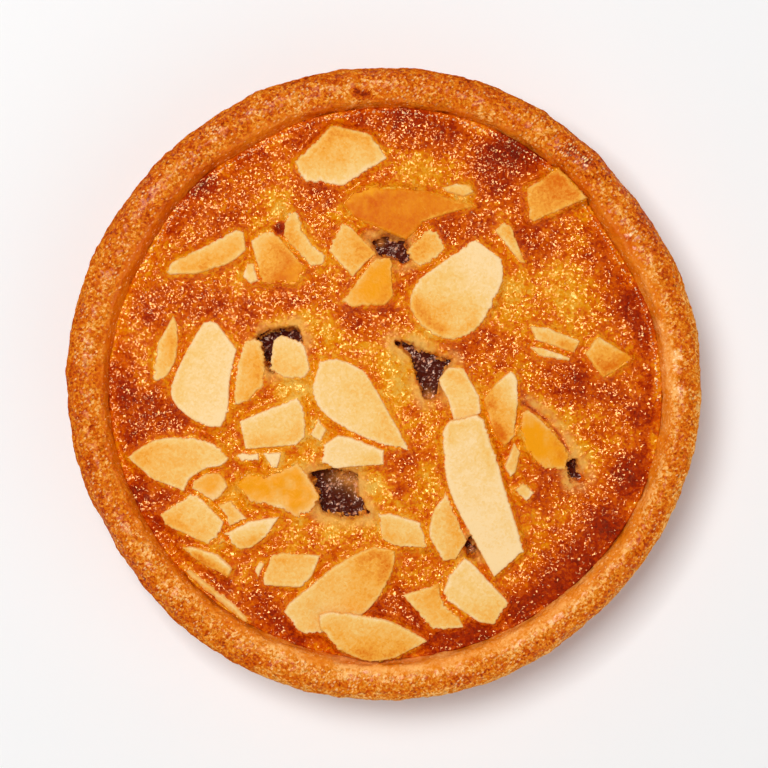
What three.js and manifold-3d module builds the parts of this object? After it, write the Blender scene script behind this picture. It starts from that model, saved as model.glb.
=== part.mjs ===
// An almond tart, built up as a baker builds it: a plain round shortcrust case, a layer of dark fruit in it,
// almond cream that has risen and split open over the fruit, and flaked almonds baked on to the cream.
// Millimetres, +Z up. The origin is on the table, under the middle of the tart.

import * as THREE from "three";
import { mergeVertices } from "three/addons/utils/BufferGeometryUtils.js";
import Module from "manifold-3d";

const wasm = await Module();
wasm.setup();

// Driving dimensions
const tartDiameter = 100; // across the rim, its widest part
const tartHeight = 22; // from the table to the crest of the rim
const baseDiameter = 86;
const crustThickness = 4; // of the case's floor
const fruitThickness = 10.2;
const creamEdgeHeight = 18.3; // the almond cream at the rim, from the table
const creamDome = 1.3; // how much higher the cream stands in the middle
const flakeThickness = 0.95;
const gap = 0.25; // left between pieces that touch

// The plan: outlines below are in pixels of a square picture of the tart, seen from straight above
const planCentre = 383.5;
const planWidth = 639; // pixels across the rim
const pixel = tartDiameter / planWidth;

// The pastry case
const rimRadius = tartDiameter / 2 - 0.2; // before dents and bulges
const rimWidth = 6.6;
const rimRise = 3.2; // from the edges of the rim to its crest
const rimFlatness = 0.7; // below 1 the crest is broader than a round one
const openingRadius = rimRadius - rimWidth;
const floorRadius = 38.5; // of the case's inside, at its floor
const footRound = 1.2; // the rounded corner under the wall
const wallBulge = 0.35;
// Dents and bulges by bearing, round the outside of the rim and round its opening
const rimDents = [
  { bearing: 36, out: -0.8, spread: 10 },
  { bearing: 52, out: -0.4, spread: 6 },
  { bearing: 113, out: 0.25, spread: 5 },
  { bearing: 156, out: 0.2, spread: 7 },
  { bearing: 178, out: 0.2, spread: 9 },
  { bearing: 214, out: -0.6, spread: 13 },
  { bearing: 314, out: -0.55, spread: 14 },
  { bearing: 355, out: 0.2, spread: 6 },
];
const openingDents = [
  { bearing: 32, out: -1.2, spread: 11 },
  { bearing: 75, out: 0.4, spread: 22 },
  { bearing: 120, out: -0.55, spread: 8 },
  { bearing: 152, out: -0.55, spread: 13 },
  { bearing: 340, out: 0.9, spread: 24 },
];
const crestWaves = [
  { waves: 3, high: 0.18, phase: 0.6 },
  { waves: 5, high: 0.14, phase: 2.1 },
  { waves: 11, high: 0.08, phase: 4.0 },
];
const caseColumns = 84;
const wallSteps = 5;
const rimSteps = 9;
const innerSteps = 4;

// The almond cream: a roll along the rim, mounds between the almonds and hollows where it sank or split
const creamRings = 21;
const rollInset = 5; // of the roll's crest from the rim
const rollWidth = 3.2;
const rollHeight = 0.45;
const edgeDrop = 0.6; // where the cream turns down against the rim
const edgeDropWidth = 1.1;
const mounds = [
  { at: [205, 190], radius: 26, high: 0.5 },
  { at: [300, 140], radius: 24, high: 0.35 },
  { at: [418, 125], radius: 38, high: 0.6 },
  { at: [512, 158], radius: 26, high: 0.7 },
  { at: [590, 265], radius: 34, high: 0.55 },
  { at: [565, 385], radius: 26, high: 0.75 },
  { at: [625, 430], radius: 32, high: 0.5 },
  { at: [600, 520], radius: 34, high: 0.55 },
  { at: [535, 475], radius: 18, high: 0.5 },
  { at: [330, 312], radius: 30, high: 0.75 },
  { at: [392, 365], radius: 24, high: 0.9 },
  { at: [470, 345], radius: 26, high: 0.5 },
  { at: [405, 470], radius: 26, high: 0.55 },
  { at: [330, 540], radius: 30, high: 0.45 },
  { at: [150, 395], radius: 30, high: 0.5 },
  { at: [165, 285], radius: 26, high: 0.35 },
  { at: [250, 610], radius: 26, high: 0.4 },
  { at: [470, 640], radius: 26, high: 0.4 },
];
const hollows = [
  { at: [278, 224], radius: 12, high: -1.3 },
  { at: [391, 156], radius: 8, high: -0.8 },
  { at: [385, 245], radius: 17, high: -1.5 },
  { at: [280, 348], radius: 22, high: -1.2 },
  { at: [428, 368], radius: 20, high: -1.9 },
  { at: [340, 490], radius: 24, high: -2.0 },
  { at: [571, 468], radius: 9, high: -1.2 },
  { at: [548, 428], radius: 13, high: -0.6 },
  { at: [470, 543], radius: 9, high: -0.9 },
  { at: [500, 300], radius: 24, high: -0.4 },
  { at: [440, 178], radius: 26, high: -0.4 },
  { at: [550, 240], radius: 22, high: -0.35 },
];
const rippleHeight = 0.12;
const rippleLength = 9; // from crest to crest

// Splits in the cream that go right down to the fruit
const splits = {
  underLongSlice: [[372, 243], [384, 238], [404, 243], [411, 258], [402, 262], [381, 256]],
  underSquareChip: [[259, 338], [269, 331], [298, 328], [302, 342], [296, 362], [273, 371], [264, 352]],
  wideSplit: [[394, 342], [404, 343], [422, 352], [449, 361], [440, 376], [437, 395], [424, 398], [417, 377],
    [411, 356]],
  deepWell: [[312, 471], [332, 468], [356, 473], [357, 492], [368, 511], [345, 514], [322, 508], [319, 494]],
  crackEnd: [[565, 462], [572, 458], [578, 477], [568, 479]],
  besideStrip: [[464, 541], [469, 535], [476, 550], [467, 550]],
};

// Flaked almonds, the lowest first. Each outline has only its corners, clockwise as seen from above. A third
// number bows the side that starts at that corner outwards, by that share of its length.
const flakeOutlines = [
  [[294, 162], [330, 126, 0.06], [342, 127], [371, 134], [387, 158], [343, 186], [303, 181]],
  [[342, 204, 0.1], [366, 185], [425, 190], [476, 206], [440, 216], [424, 222], [406, 240], [353, 218]],
  [[441, 187], [456, 183], [472, 184], [474, 192], [464, 197], [446, 192]],
  [[557, 167], [587, 198], [534, 222], [528, 219], [526, 188], [541, 179]],
  [[493, 230], [503, 221], [510, 225], [525, 263], [519, 263]],
  [[474, 238], [502, 259, 0.1], [496, 296, 0.06], [474, 331, 0.13], [442, 339, 0.13], [409, 308, 0.12],
    [419, 278]],
  [[428, 227], [437, 231], [446, 249], [436, 259], [420, 268], [411, 261], [405, 250]],
  [[341, 222], [351, 227], [377, 254], [366, 262], [352, 278], [327, 251]],
  [[341, 302], [369, 264, 0.05], [380, 257], [391, 257], [393, 297], [384, 306], [350, 308]],
  [[247, 262], [254, 263], [259, 281], [250, 285], [242, 276]],
  [[250, 241], [258, 233], [270, 230, 0.06], [281, 239], [308, 270], [296, 286], [262, 284], [256, 262]],
  [[288, 211], [298, 212], [303, 230], [313, 245], [327, 256], [323, 265], [310, 267], [283, 237],
    [284, 222]],
  [[166, 272], [172, 261], [205, 245], [236, 229], [244, 231], [246, 250, 0.06], [222, 267],
    [196, 274], [170, 275]],
  [[173, 314, 0.08], [178, 340, 0.05], [174, 365], [164, 380], [153, 379, 0.03], [157, 343]],
  [[243, 343], [249, 336], [262, 341], [266, 368], [265, 384], [247, 402], [233, 406], [234, 385],
    [238, 358]],
  [[203, 322, 0.12], [217, 322], [237, 349], [230, 382], [229, 412], [221, 427], [207, 427, 0.05],
    [178, 408, 0.12], [170, 386, 0.03]],
  [[281, 334], [303, 341, 0.04], [311, 371], [304, 379], [284, 378], [269, 369], [273, 340]],
  [[338, 434], [352, 436], [384, 449], [384, 464], [333, 468], [321, 461], [323, 443]],
  [[319, 360], [336, 358, 0.07], [368, 374], [411, 451, 0.04], [350, 431, 0.06], [319, 408, 0.08],
    [311, 388]],
  [[318, 417], [327, 429], [321, 442], [309, 434]],
  [[239, 420], [298, 396], [306, 413], [305, 437], [296, 445], [245, 449]],
  [[233, 455], [241, 452], [259, 452], [259, 460], [241, 461]],
  [[262, 452], [282, 451], [278, 468], [271, 467]],
  [[127, 457, 0.04], [153, 439, 0.04], [190, 436, 0.05], [220, 446], [230, 458], [221, 466],
    [206, 468], [190, 478], [184, 491], [152, 479]],
  [[193, 480], [206, 472], [219, 472, 0.1], [228, 486], [221, 496], [213, 501], [191, 488]],
  [[217, 504], [231, 499], [247, 518], [229, 526], [226, 516]],
  [[159, 514], [190, 493], [198, 494], [224, 521], [221, 531], [209, 545], [166, 525]],
  [[222, 534], [229, 543], [215, 545]],
  [[224, 532], [248, 520], [280, 515], [266, 536], [252, 547], [237, 550]],
  [[235, 484], [247, 471], [268, 474], [284, 468], [297, 461], [308, 474], [320, 496], [312, 511], [297, 518],
    [283, 509], [251, 502]],
  [[180, 546], [193, 545], [218, 553], [233, 567], [229, 577], [203, 564]],
  [[184, 568], [190, 568], [219, 590, 0.03], [252, 620], [246, 621], [214, 596, 0.03]],
  [[259, 560], [265, 563], [258, 578], [254, 570]],
  [[271, 554], [287, 551], [321, 554], [312, 576], [301, 587], [264, 585], [262, 578]],
  [[283, 611], [288, 602], [331, 567, 0.04], [374, 545], [395, 549, 0.05], [390, 577, 0.05], [363, 614],
    [322, 633], [300, 633]],
  [[377, 512], [391, 512], [420, 521], [428, 548], [394, 546], [381, 538]],
  [[445, 490], [467, 540], [455, 559], [442, 560], [428, 536, 0.05], [433, 508]],
  [[401, 594], [439, 582], [440, 594], [444, 604], [458, 614], [464, 627], [432, 629]],
  [[464, 556], [470, 560], [509, 602], [494, 624], [478, 622], [446, 600], [442, 593], [446, 577]],
  [[436, 379], [448, 366], [463, 367], [480, 397], [482, 411], [475, 421], [453, 422], [447, 399]],
  [[482, 399, 0.05], [510, 370, 0.1], [517, 380], [518, 394], [514, 436], [503, 447], [492, 430]],
  [[520, 411], [527, 409, 0.05], [569, 453], [565, 470], [540, 468], [524, 450], [518, 430]],
  [[513, 441], [520, 451], [515, 472], [509, 478], [503, 466]],
  [[522, 480], [534, 492], [526, 501], [512, 489]],
  [[525, 345], [541, 347], [573, 358], [569, 361], [537, 357]],
  [[528, 325], [548, 327], [580, 340], [573, 353], [534, 340], [532, 334]],
  [[597, 335], [634, 358], [603, 378], [592, 366], [584, 352]],
  [[441, 431, 0.05], [449, 419], [475, 413], [482, 417, 0.02], [502, 480], [524, 550], [493, 577],
    [455, 507, 0.04], [443, 465]],
  [[318, 612], [330, 608], [384, 617, 0.03], [428, 640], [396, 656, 0.03], [368, 660, 0.03], [337, 647],
    [319, 626]],
];
const bowSteps = 4; // straight pieces in a bowed side
const flakeClearance = 0.15; // under a flake, above what carries it

const materials = {
  pastry: new THREE.MeshStandardMaterial({ color: 0xc9782e, roughness: 0.75, metalness: 0 }),
  fruit: new THREE.MeshStandardMaterial({ color: 0x2b1210, roughness: 0.35, metalness: 0 }),
  cream: new THREE.MeshStandardMaterial({ color: 0xdd8a26, roughness: 0.4, metalness: 0 }),
  almond: new THREE.MeshStandardMaterial({ color: 0xf2cf8c, roughness: 0.6, metalness: 0 }),
};

const mix = THREE.MathUtils.lerp;

// A plan position in millimetres from the middle of the tart
function onTart([x, y]) {
  return new THREE.Vector2((x - planCentre) * pixel, (planCentre - y) * pixel);
}

function meshOf(name, geometry, material) {
  const mesh = new THREE.Mesh(geometry, material);
  mesh.name = name;
  return mesh;
}

function solidOf(geometry) {
  const bare = new THREE.BufferGeometry();
  bare.setAttribute("position", geometry.getAttribute("position"));
  bare.setIndex(geometry.index);
  const merged = mergeVertices(bare, 1e-4);
  const triVerts = new Uint32Array(merged.index.array);
  const vertProperties = merged.getAttribute("position").array;
  return new wasm.Manifold(new wasm.Mesh({ numProp: 3, vertProperties, triVerts }));
}

function geometryOf(vertices, triangles) {
  const geometry = new THREE.BufferGeometry();
  geometry.setAttribute("position", new THREE.Float32BufferAttribute(vertices, 3));
  geometry.setIndex(triangles);
  geometry.computeVertexNormals();
  return geometry;
}

// Radii that change round the tart

function dented(radius, dents, angle) {
  const bearing = THREE.MathUtils.radToDeg(angle);
  const outs = dents.map((dent) => {
    const away = THREE.MathUtils.euclideanModulo(bearing - dent.bearing + 180, 360) - 180;
    return dent.out * Math.exp(-((away / dent.spread) ** 2));
  });
  return outs.reduce((sum, out) => sum + out, radius);
}

function outerRadius(angle) {
  return dented(rimRadius, rimDents, angle);
}

// Inside the rim, at the level of the cream
function innerRadius(angle) {
  return dented(openingRadius, openingDents, angle);
}

function crestHeight(angle) {
  const waves = crestWaves.map((wave) => wave.high * Math.sin(wave.waves * angle + wave.phase));
  return waves.reduce((sum, high) => sum + high, tartHeight);
}

// The inside of the case, from its floor up to the rim
function insideRadius(angle, z) {
  const rimFoot = tartHeight - rimRise;
  return mix(floorRadius, innerRadius(angle), (z - crustThickness) / (rimFoot - crustThickness));
}

// The pastry case

// Half a section through the case, from the middle of its underside round the rim to the middle of its floor
function caseSection(angle) {
  const baseRadius = baseDiameter / 2;
  const outer = outerRadius(angle);
  const inner = innerRadius(angle);
  const crest = crestHeight(angle);
  const rimFoot = crest - rimRise;
  const corner = 0.3 * footRound;
  const section = [[0, 0], [baseRadius / 2, 0], [baseRadius - footRound, 0], [baseRadius - corner, corner]];
  for (let step = 0; step < wallSteps; step++) {
    const up = step / wallSteps;
    const z = mix(footRound, rimFoot, up);
    section.push([mix(baseRadius, outer, z / rimFoot) + wallBulge * Math.sin(Math.PI * up), z]);
  }
  for (let step = 0; step <= rimSteps; step++) {
    const turn = (Math.PI * step) / rimSteps;
    const across = (outer + inner) / 2 + ((outer - inner) / 2) * Math.cos(turn);
    section.push([across, rimFoot + rimRise * Math.abs(Math.sin(turn)) ** rimFlatness]);
  }
  for (let step = 1; step < innerSteps; step++) {
    const z = mix(rimFoot, crustThickness, step / innerSteps);
    section.push([insideRadius(angle, z), z]);
  }
  section.push([floorRadius, crustThickness], [floorRadius / 2, crustThickness], [0, crustThickness]);
  return section;
}

function pastryCase() {
  const vertices = [];
  const triangles = [];
  const rows = caseSection(0).length;
  for (let column = 0; column < caseColumns; column++) {
    const angle = (2 * Math.PI * column) / caseColumns;
    for (const [radius, z] of caseSection(angle)) {
      vertices.push(radius * Math.cos(angle), radius * Math.sin(angle), z);
    }
  }
  for (let column = 0; column < caseColumns; column++) {
    const here = column * rows;
    const next = ((column + 1) % caseColumns) * rows;
    for (let row = 0; row < rows - 1; row++) {
      if (row > 0) triangles.push(here + row, next + row, here + row + 1);
      if (row < rows - 2) triangles.push(next + row, next + row + 1, here + row + 1);
    }
  }
  // The columns meet on the axis, at the middle of the underside and of the floor
  const joined = triangles.map((vertex) => {
    const row = vertex % rows;
    return row === 0 || row === rows - 1 ? row : vertex;
  });
  return geometryOf(vertices, joined);
}

// The fillings: a lumpy top over a round wall and a flat underside

// Rings of 6, 12, 18 ... points give triangles of one size all over the top
function filling(rings, topHeight, sideHeights, wallRadius) {
  const vertices = [0, 0, topHeight(0, 0)];
  const triangles = [];
  const ringStart = (ring) => (ring === 0 ? 0 : 1 + 3 * ring * (ring - 1));
  const onRing = (ring, step) => ringStart(ring) + (ring === 0 ? 0 : step % (6 * ring));
  for (let ring = 1; ring <= rings; ring++) {
    const share = ring / rings;
    const out = share * (1.12 - 0.12 * share * share); // a little closer together towards the rim
    for (let step = 0; step < 6 * ring; step++) {
      const angle = (2 * Math.PI * step) / (6 * ring);
      const radius = out * wallRadius(angle, sideHeights[0]);
      const [x, y] = [radius * Math.cos(angle), radius * Math.sin(angle)];
      vertices.push(x, y, topHeight(x, y));
    }
    for (let sector = 0; sector < 6; sector++) {
      for (let step = 0; step < ring; step++) {
        const outside = sector * ring + step;
        const inside = sector * (ring - 1) + step;
        triangles.push(onRing(ring - 1, inside), onRing(ring, outside), onRing(ring, outside + 1));
        if (step < ring - 1) {
          triangles.push(onRing(ring - 1, inside), onRing(ring, outside + 1), onRing(ring - 1, inside + 1));
        }
      }
    }
  }
  const around = 6 * rings;
  let above = ringStart(rings);
  for (const z of sideHeights.slice(1)) {
    const below = vertices.length / 3;
    for (let step = 0; step < around; step++) {
      const angle = (2 * Math.PI * step) / around;
      const radius = wallRadius(angle, z);
      const next = (step + 1) % around;
      vertices.push(radius * Math.cos(angle), radius * Math.sin(angle), z);
      triangles.push(above + step, below + step, above + next, above + next, below + step, below + next);
    }
    above = below;
  }
  const middle = vertices.length / 3;
  vertices.push(0, 0, sideHeights.at(-1));
  for (let step = 0; step < around; step++) {
    triangles.push(middle, above + ((step + 1) % around), above + step);
  }
  return geometryOf(vertices, triangles);
}

const fruitBottom = crustThickness + gap;
const fruitTop = crustThickness + fruitThickness;
const creamBottom = fruitTop + gap;
const fruitRings = 12;
const fruitLump = 0.3;
const fruitLumpLength = 7;

function wave(x, y, length) {
  const turn = (2 * Math.PI) / length;
  return Math.sin(turn * (x + 0.35 * y)) * Math.sin(turn * (0.9 * y - 0.3 * x) + 1);
}

function fruitHeight(x, y) {
  return fruitTop - fruitLump + fruitLump * wave(x, y, fruitLumpLength);
}

function heap(x, y, { at, radius, high }) {
  const away = onTart(at).distanceTo(new THREE.Vector2(x, y)) / (radius * pixel);
  return high * Math.exp(-away * away);
}

function creamHeight(x, y) {
  const radius = Math.hypot(x, y);
  const toRim = innerRadius(Math.atan2(y, x)) - radius;
  const dome = creamDome * (1 - (radius / openingRadius) ** 2);
  const roll = rollHeight * Math.exp(-(((toRim - rollInset) / rollWidth) ** 2));
  const drop = edgeDrop * Math.exp(-((Math.max(toRim, 0) / edgeDropWidth) ** 2));
  const heaps = [...mounds, ...hollows].reduce((sum, one) => sum + heap(x, y, one), 0);
  return creamEdgeHeight + dome + roll - drop + heaps + rippleHeight * wave(x, y, rippleLength);
}

// Inside the rim the cream carries the almonds, and beyond it the pastry's slope does
function tartTop(x, y) {
  const angle = Math.atan2(y, x);
  const inner = innerRadius(angle);
  const half = (outerRadius(angle) - inner) / 2;
  const intoRim = Math.hypot(x, y) - inner;
  if (intoRim < -gap) return creamHeight(x, y);
  const across = THREE.MathUtils.clamp((intoRim - half) / half, -1, 1);
  return crestHeight(angle) - rimRise + rimRise * (1 - across * across) ** (rimFlatness / 2);
}

// Outlines, flakes and splits

// A closed outline of straight and bowed sides, in millimetres about its own middle
function outlineOf(corners) {
  const points = corners.map(onTart);
  const sum = points.reduce((total, point) => total.add(point), new THREE.Vector2());
  const middle = sum.divideScalar(points.length);
  const shape = new THREE.Shape();
  points.forEach((from, corner) => {
    const to = points[(corner + 1) % points.length];
    const bow = corners[corner][2] ?? 0;
    const side = to.clone().sub(from);
    const outwards = new THREE.Vector2(-side.y, side.x).multiplyScalar(2 * bow);
    const control = from.clone().add(to).multiplyScalar(0.5).add(outwards).sub(middle);
    const end = to.clone().sub(middle);
    if (corner === 0) shape.moveTo(from.x - middle.x, from.y - middle.y);
    if (bow === 0) shape.lineTo(end.x, end.y);
    else shape.quadraticCurveTo(control.x, control.y, end.x, end.y);
  });
  return { shape, middle };
}

function isInside(x, y, polygon) {
  let inside = false;
  polygon.forEach((to, corner) => {
    const from = polygon.at(corner - 1);
    if (to.y > y === from.y > y) return;
    if (x < from.x + ((to.x - from.x) * (y - from.y)) / (to.y - from.y)) inside = !inside;
  });
  return inside;
}

const restSpacing = 1; // between the points where a flake feels for what is under it
const restTries = 25;
const pushUp = 40; // how much more a point that pokes through counts than one that is clear
const steepest = 0.55;

// The tilted plane on which a flake comes to rest: as low as it can lie without anything poking through it
function restingPlane(polygon, middle, carriedBy) {
  const points = polygon.map((point) => [point.x, point.y]);
  const reach = Math.max(...polygon.map((point) => point.length()));
  for (let x = -reach; x <= reach; x += restSpacing) {
    for (let y = -reach; y <= reach; y += restSpacing) if (isInside(x, y, polygon)) points.push([x, y]);
  }
  const under = points.map(([x, y]) => carriedBy(x + middle.x, y + middle.y));
  let plane = new THREE.Vector3(0, 0, 0);
  const above = ([x, y], lie) => lie.x * x + lie.y * y + lie.z;
  for (let attempt = 0; attempt < restTries; attempt++) {
    const sums = new Array(9).fill(0);
    const right = [0, 0, 0];
    points.forEach((point, index) => {
      const weight = attempt > 0 && under[index] > above(point, plane) ? pushUp : 1;
      const row = [point[0], point[1], 1];
      row.forEach((a, i) => {
        right[i] += weight * a * under[index];
        row.forEach((b, j) => {
          sums[3 * i + j] += weight * a * b;
        });
      });
    });
    plane = new THREE.Vector3(...right).applyMatrix3(new THREE.Matrix3().set(...sums).invert());
  }
  const slope = Math.hypot(plane.x, plane.y);
  const eased = Math.min(1, steepest / Math.max(slope, steepest));
  plane.set(plane.x * eased, plane.y * eased, plane.z);
  plane.z += Math.max(...points.map((point, index) => under[index] - above(point, plane)));
  return plane;
}

function heightOn({ plane, middle }, x, y) {
  return plane.x * (x - middle.x) + plane.y * (y - middle.y) + plane.z;
}

function almondFlakes() {
  const laid = [];
  return flakeOutlines.map((corners, index) => {
    const { shape, middle } = outlineOf(corners);
    const polygon = shape.getPoints(bowSteps);
    const carriedBy = (x, y) => {
      const tops = laid.filter((flake) => isInside(x - flake.middle.x, y - flake.middle.y, flake.polygon));
      const heights = tops.map((flake) => heightOn(flake, x, y));
      return Math.max(tartTop(x, y), ...heights.map((z) => z + 1.1 * flakeThickness));
    };
    const plane = restingPlane(polygon, middle, carriedBy);
    plane.z += flakeClearance;
    laid.push({ polygon, middle, plane });
    const slice = { depth: flakeThickness, bevelEnabled: false, curveSegments: bowSteps };
    const name = `flake_${String(index + 1).padStart(2, "0")}`;
    const flake = meshOf(name, new THREE.ExtrudeGeometry(shape, slice), materials.almond);
    const facing = new THREE.Vector3(-plane.x, -plane.y, 1).normalize();
    flake.quaternion.setFromUnitVectors(new THREE.Vector3(0, 0, 1), facing);
    flake.position.set(middle.x, middle.y, plane.z);
    return flake;
  });
}

function almondCream() {
  const sides = [creamEdgeHeight - edgeDrop, (creamEdgeHeight + creamBottom) / 2, creamBottom];
  const insideCase = (angle, z) => insideRadius(angle, z) - gap;
  let cream = solidOf(filling(creamRings, creamHeight, sides, insideCase));
  for (const corners of Object.values(splits)) {
    const { shape, middle } = outlineOf(corners);
    const cut = new THREE.ExtrudeGeometry(shape, { depth: tartHeight, bevelEnabled: false });
    cream = cream.subtract(solidOf(cut.translate(middle.x, middle.y, creamBottom / 2)));
  }
  const { vertProperties, triVerts } = cream.getMesh();
  return geometryOf(vertProperties, Array.from(triVerts));
}

function fruitLayer() {
  const sides = [fruitTop - fruitLump, fruitBottom];
  return filling(fruitRings, fruitHeight, sides, (angle, z) => insideRadius(angle, z) - gap);
}

const tart = new THREE.Group();
tart.add(meshOf("pastry_case", pastryCase(), materials.pastry));
tart.add(meshOf("fruit_filling", fruitLayer(), materials.fruit));
tart.add(meshOf("almond_cream", almondCream(), materials.cream));
tart.add(...almondFlakes());

export default tart;
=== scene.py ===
import itertools
import math

import bmesh
import bpy
import numpy as np
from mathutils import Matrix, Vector, geometry, kdtree
from mathutils.bvhtree import BVHTree


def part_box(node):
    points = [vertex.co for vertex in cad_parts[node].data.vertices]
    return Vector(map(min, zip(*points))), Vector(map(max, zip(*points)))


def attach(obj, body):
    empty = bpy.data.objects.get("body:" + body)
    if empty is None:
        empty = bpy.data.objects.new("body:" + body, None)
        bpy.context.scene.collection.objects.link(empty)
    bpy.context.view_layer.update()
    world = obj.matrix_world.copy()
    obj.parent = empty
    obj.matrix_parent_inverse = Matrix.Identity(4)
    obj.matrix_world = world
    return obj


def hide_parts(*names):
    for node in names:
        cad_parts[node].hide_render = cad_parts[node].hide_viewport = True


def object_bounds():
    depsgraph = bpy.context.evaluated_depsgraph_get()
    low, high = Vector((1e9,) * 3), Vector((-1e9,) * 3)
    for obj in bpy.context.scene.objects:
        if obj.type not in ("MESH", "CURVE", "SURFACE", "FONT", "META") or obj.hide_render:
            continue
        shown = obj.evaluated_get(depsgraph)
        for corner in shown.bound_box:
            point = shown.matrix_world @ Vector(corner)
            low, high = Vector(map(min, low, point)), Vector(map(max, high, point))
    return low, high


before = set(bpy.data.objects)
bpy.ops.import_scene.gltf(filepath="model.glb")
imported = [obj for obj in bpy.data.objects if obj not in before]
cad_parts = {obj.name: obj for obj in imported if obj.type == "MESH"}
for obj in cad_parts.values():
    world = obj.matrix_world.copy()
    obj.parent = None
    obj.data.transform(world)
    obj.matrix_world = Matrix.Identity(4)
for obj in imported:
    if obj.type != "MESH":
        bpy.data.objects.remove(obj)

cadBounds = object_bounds()
mm = 0.001  # arrays below are in millimetres, meshes in metres
coarser = 1
flakeNodes = sorted(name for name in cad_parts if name.startswith("flake_"))
print("frame loaded:", len(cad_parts), "nodes")


# ways of making shapes

gradientDraw = np.random.default_rng(7)
gradientTable = gradientDraw.normal(size=(256, 3))
gradientTable /= np.linalg.norm(gradientTable, axis=1)[:, None]
shuffleTable = gradientDraw.permutation(256)


def lumps(points, size, seed=0):  # smooth noise from about -1 to 1 with features of that size
    at = np.asarray(points, float) / size + 37.7 * seed + 1000
    cell = np.floor(at).astype(int)
    inside = at - cell
    ease = inside ** 3 * (inside * (inside * 6 - 15) + 10)
    total = np.zeros(len(at))
    for corner in itertools.product((0, 1), repeat=3):
        x, y, z = ((cell + corner) & 255).T
        pick = shuffleTable[(shuffleTable[(shuffleTable[x] + y) & 255] + z) & 255]
        share = np.prod(np.where(corner, ease, 1 - ease), axis=1)
        total += share * np.einsum("ij,ij->i", gradientTable[pick], inside - corner)
    return total * 1.6


def smoothStep(low, high, value):
    share = np.clip((value - low) / (high - low), 0, 1)
    return share * share * (3 - 2 * share)


def layeredLumps(points, layers):  # lumps added up: height, size and seed of each layer
    return sum(height * lumps(points, size, seed) for height, size, seed in layers)


def nearSpot(points, across, up, size):  # 1 at a spot on the plan, fading out round it
    return np.exp(-((points[:, 0] - across) ** 2 + (points[:, 1] - up) ** 2) / size ** 2)


def compass(degrees):  # a bearing as a direction on the plan
    return np.array([math.cos(math.radians(degrees)), math.sin(math.radians(degrees))])


def lowerRight(points):  # from 0 at the upper left of the plan to 1 at the lower right
    radius = np.maximum(np.hypot(points[:, 0], points[:, 1]), 1)
    return 0.5 + 0.5 * (points[:, 0] - points[:, 1]) / radius / math.sqrt(2)


def nodeTree(*names):  # a search tree over CAD nodes, in millimetres
    corners, faces = [], []
    for name in names:
        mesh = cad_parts[name].data
        start = len(corners)
        corners += [v.co / mm for v in mesh.vertices]
        faces += [[start + v for v in p.vertices] for p in mesh.polygons]
    return BVHTree.FromPolygons(corners, faces)


def castHeights(tree, flat, start, direction):  # where a vertical ray meets the tree, nan where it doesn't
    heights = np.full(len(flat), np.nan)
    for i, (x, y) in enumerate(flat):
        hit = tree.ray_cast(Vector((x, y, start)), Vector((0, 0, direction)))[0]
        if hit is not None:
            heights[i] = hit.z
    return heights


def ringDisc(rings):  # rings of 6, 12, 18 ... points: share of the radius, bearing, triangles
    share, bearing, faces = [np.zeros(1)], [np.zeros(1)], []
    first = [0]
    for ring in range(1, rings + 1):
        count = 6 * ring
        first.append(first[-1] + (1 if ring == 1 else count - 6))
        share.append(np.full(count, ring / rings))
        bearing.append(np.arange(count) * 2 * math.pi / count)
        step = np.tile(np.arange(ring), 6)
        outer = np.repeat(np.arange(6), ring) * ring + step
        inner = np.repeat(np.arange(6), ring) * (ring - 1) + step
        under = max(count - 6, 1)
        a, b = first[ring] + outer, first[ring] + (outer + 1) % count
        c, d = first[ring - 1] + inner % under, first[ring - 1] + (inner + 1) % under
        faces.append(np.stack([c, a, b], 1))
        faces.append(np.stack([c, b, d], 1)[step < ring - 1])
    return np.concatenate(share), np.concatenate(bearing), np.concatenate(faces), first[-1]


def spreadOut(values, edges, rounds):  # evens a value out over neighbouring points
    degree = np.bincount(edges.ravel(), minlength=len(values))
    for _ in range(rounds):
        near = np.bincount(edges[:, 0], values[edges[:, 1]], len(values))
        near += np.bincount(edges[:, 1], values[edges[:, 0]], len(values))
        values = 0.5 * values + 0.5 * near / degree
    return values


def edgesOf(faces):
    sides = np.concatenate([faces[:, [0, 1]], faces[:, [1, 2]], faces[:, [2, 0]]])
    return np.unique(np.sort(sides, axis=1), axis=0)


def nearest(points, targets):  # how far off the nearest target is, and which one that is
    tree = kdtree.KDTree(len(targets))
    for place, target in enumerate(targets):
        tree.insert(target, place)
    tree.balance()
    found = [tree.find(point) for point in points]
    return np.array([hit[2] for hit in found]), np.array([hit[1] for hit in found])


def toLine(points, line):  # how far each point is from a line of points
    start, side = line[:-1], np.diff(line, axis=0)
    along = np.einsum("pkd,kd->pk", points[:, None] - start[None], side)
    along = along / np.einsum("kd,kd->k", side, side)
    foot = start[None] + np.clip(along, 0, 1)[..., None] * side[None]
    return np.linalg.norm(points[:, None] - foot, axis=2).min(1)


def outwardWays(plan):
    return plan / np.linalg.norm(plan, axis=1)[:, None]


def closeEdge(points, faces, ring, ways, levels, upward=False):  # by rings to a flat middle
    faces = [faces]
    for radius, z in levels:
        new = len(points) + np.arange(len(ring))
        circle = ways * np.reshape(radius, (-1, 1))
        points = np.vstack([points, np.column_stack([circle, np.full(len(ring), z)])])
        first, second = (ring, new) if upward else (new, ring)
        faces.append(np.stack([first, np.roll(first, -1), np.roll(second, -1)], 1))
        faces.append(np.stack([first, np.roll(second, -1), second], 1))
        ring = new
    beside, middle = np.roll(ring, -1), np.full(len(ring), len(points))
    faces.append(np.stack([ring, beside, middle] if upward else [beside, ring, middle], 1))
    return np.vstack([points, [[0, 0, levels[-1][1]]]]), np.concatenate(faces)


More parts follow.
